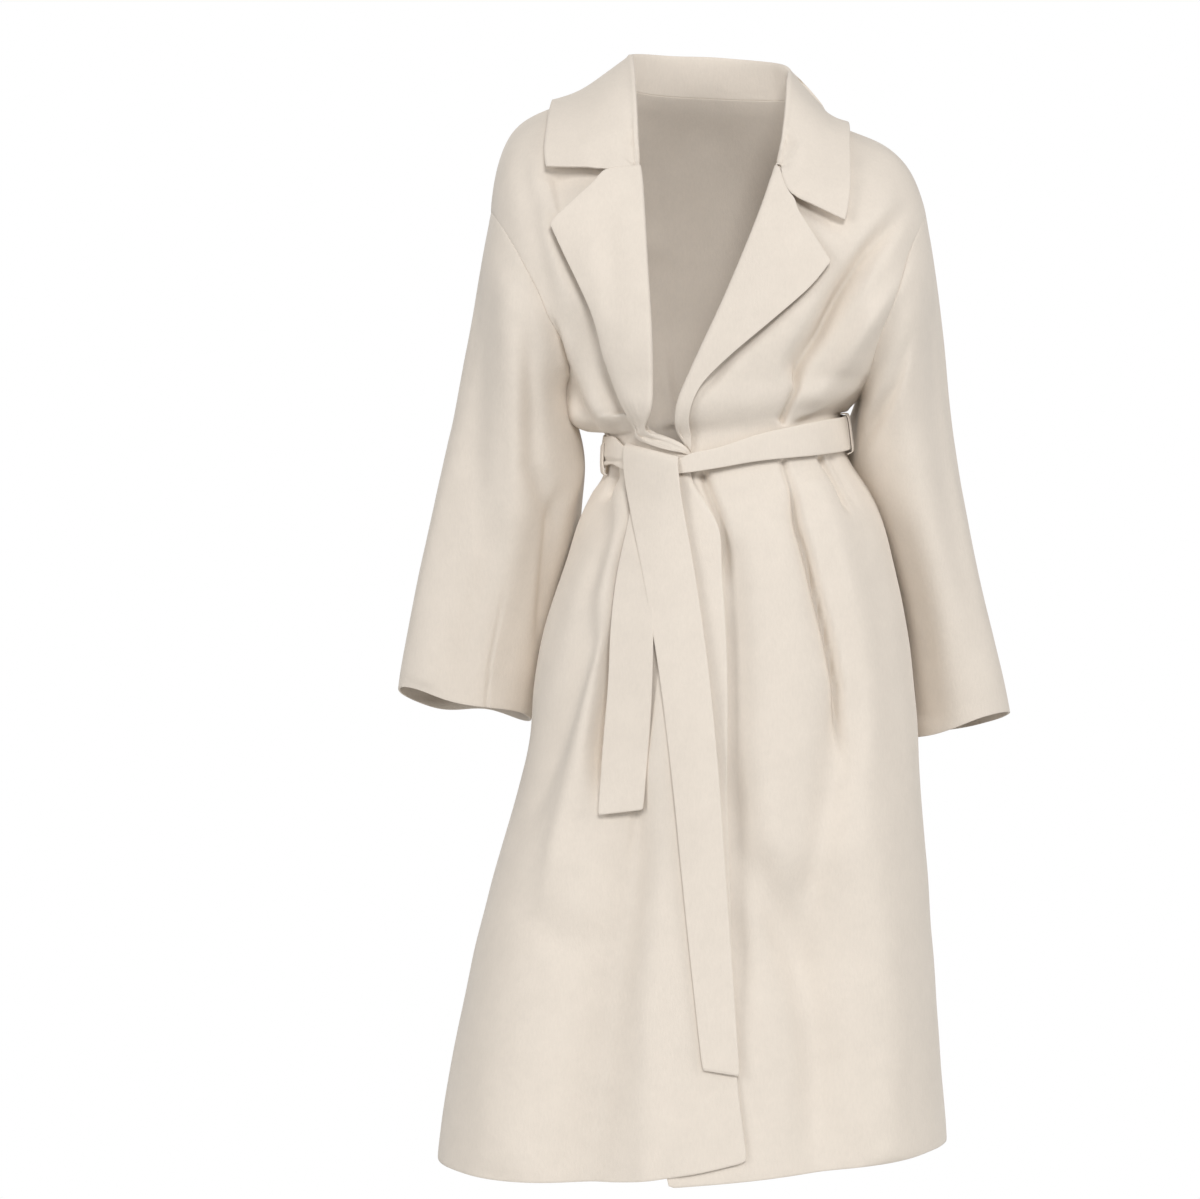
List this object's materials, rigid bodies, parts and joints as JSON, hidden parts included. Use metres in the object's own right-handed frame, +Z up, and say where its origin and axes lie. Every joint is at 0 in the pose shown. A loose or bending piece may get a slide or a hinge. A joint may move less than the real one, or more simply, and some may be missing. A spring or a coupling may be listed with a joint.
{
  "type": "wrap coat",
  "caption": "Midi-length wool wrap coat with notched lapels, dropped shoulders, wide open cuffs and a self belt tied in front, hollow as it is worn.",
  "frame": {"origin": "middle of the neck opening at shoulder height, where the shoulders hold the coat up", "axes": "+X the coat's own left side, +Y its back, +Z up along its length; the front faces -Y"},
  "size_m": [0.6534, 0.3669, 1.1681],
  "materials": {
    "coat_cloth": "cream double-faced wool with a short brushed nap, matte",
    "belt_cloth": "the coat's cream wool, folded and sewn flat"
  },
  "bodies": {
    "root": {"back": "coat_cloth", "front_right": "coat_cloth", "front_left": "coat_cloth", "sleeve_right": "coat_cloth", "sleeve_left": "coat_cloth", "collar": "coat_cloth", "belt_waist": "belt_cloth", "belt_tail_long": "belt_cloth", "belt_tail_short": "belt_cloth", "belt_loop_right": "coat_cloth", "belt_loop_left": "coat_cloth"}
  },
  "joints": []
}
